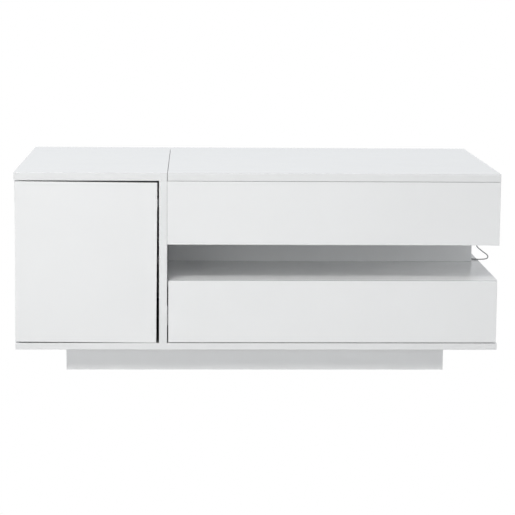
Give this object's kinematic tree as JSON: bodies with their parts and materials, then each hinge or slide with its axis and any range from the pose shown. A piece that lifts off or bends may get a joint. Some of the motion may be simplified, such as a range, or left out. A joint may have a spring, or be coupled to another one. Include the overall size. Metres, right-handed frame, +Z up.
{
  "type": "lift top coffee table",
  "caption": "Low rectangular coffee table with a door cabinet, a lift-up top over a storage box, an open shelf and a handle-less drawer on a set-back plinth.",
  "frame": {"origin": "centre of the table's footprint on the floor", "axes": "+X along the table to the right, +Y to the back, +Z up; the door and the drawer face -Y"},
  "size_m": [1.1242, 0.6, 0.46],
  "materials": {
    "gloss_board": "white high-gloss lacquered fibreboard, edges banded in the same white",
    "melamine_board": "white satin melamine on board",
    "zinc_fitting": "bright zinc-plated steel",
    "steel_pin": "plain turned steel",
    "spring_steel": "zinc-plated spring wire",
    "black_steel": "black powder-coated steel",
    "white_nylon": "white moulded plastic",
    "grey_nylon": "grey moulded plastic",
    "bumper_rubber": "soft clear-grey rubber pads",
    "light_strip": "white flexible circuit with yellow-white light chips",
    "lead_jacket": "thin dark grey lead jacket"
  },
  "bodies": {
    "carcass": {"plinth_front": "gloss_board", "plinth_back": "gloss_board", "plinth_left": "gloss_board", "plinth_right": "gloss_board", "plinth_middle": "gloss_board", "base_panel": "gloss_board", "left_side": "gloss_board", "divider": "gloss_board", "fixed_top": "gloss_board", "cabinet_back": "gloss_board", "cabinet_shelf": "melamine_board", "shelf_pins": "zinc_fitting", "box_front": "gloss_board", "box_back": "gloss_board", "box_side": "gloss_board", "box_bottom": "gloss_board", "support_panel": "gloss_board", "shelf_board": "gloss_board", "lower_side": "gloss_board", "lower_back": "gloss_board", "cam_housings": "zinc_fitting", "cam_bolts": "zinc_fitting", "base_screws": "zinc_fitting", "door_pivot_pins": "steel_pin", "latch_housings": "white_nylon", "slide_outers": "zinc_fitting", "slide_screws": "zinc_fitting", "lift_base_left": "black_steel", "lift_base_right": "black_steel", "lift_rivets": "steel_pin", "lift_base_screws": "zinc_fitting", "lift_springs": "spring_steel", "rim_bumpers": "bumper_rubber", "led_strip": "light_strip", "led_connector": "white_nylon", "led_controller": "white_nylon", "led_lead": "lead_jacket"},
    "door": {"door_panel": "gloss_board", "door_bushes": "white_nylon", "door_strike": "steel_pin"},
    "door_latch_plunger": {"door_plunger": "grey_nylon"},
    "drawer": {"drawer_front": "gloss_board", "drawer_left": "melamine_board", "drawer_right": "melamine_board", "drawer_back": "melamine_board", "drawer_floor": "melamine_board", "slide_inners": "zinc_fitting", "drawer_screws": "zinc_fitting"},
    "slide_middle_pair": {"slide_middles": "zinc_fitting"},
    "drawer_latch_plunger": {"drawer_plunger": "grey_nylon"},
    "front_arms": {"front_arm_left": "black_steel", "front_arm_right": "black_steel", "cross_bar": "black_steel"},
    "rear_arms": {"rear_arm_left": "black_steel", "rear_arm_right": "black_steel"},
    "lift_top": {"lift_top": "gloss_board", "top_bracket_left": "black_steel", "top_bracket_right": "black_steel", "top_rivets": "steel_pin", "top_screws": "zinc_fitting"}
  },
  "joints": [
    {"name": "door_swing", "type": "hinge", "parent": "carcass", "child": "door", "pos_m": [-0.5421, -0.2885, 0.25], "axis": [0, 0, -1], "range_deg": [0, 95]},
    {"name": "door_latch", "type": "slide", "parent": "carcass", "child": "door_latch_plunger", "axis": [0, 1, 0], "range_m": [0, 0.003], "stiffness_N_per_m": 400, "springref_m": -0.003},
    {"name": "drawer_slide", "type": "slide", "parent": "carcass", "child": "drawer", "axis": [0, -1, 0], "range_m": [0, 0.35]},
    {"name": "slide_middle", "type": "slide", "parent": "carcass", "child": "slide_middle_pair", "axis": [0, -1, 0], "range_m": [0, 0.175]},
    {"name": "drawer_latch", "type": "slide", "parent": "carcass", "child": "drawer_latch_plunger", "axis": [0, 1, 0], "range_m": [0, 0.003], "stiffness_N_per_m": 400, "springref_m": -0.003},
    {"name": "lift", "type": "hinge", "parent": "carcass", "child": "front_arms", "pos_m": [0, -0.205, 0.404], "axis": [1, 0, 0], "range_deg": [0, 120], "deforming": ["lift_springs"]},
    {"name": "rear_arm_turn", "type": "hinge", "parent": "carcass", "child": "rear_arms", "pos_m": [0, -0.115, 0.404], "axis": [1, 0, 0], "range_deg": [0, 120]},
    {"name": "top_turn", "type": "hinge", "parent": "front_arms", "child": "lift_top", "pos_m": [0, -0.00564, 0.42004], "axis": [1, 0, 0], "range_deg": [-120, 0]}
  ],
  "couplings": [
    {"joint": "slide_middle", "follows": "drawer_slide", "ratio": 0.5},
    {"joint": "rear_arm_turn", "follows": "lift", "ratio": 1},
    {"joint": "top_turn", "follows": "lift", "ratio": -1}
  ]
}
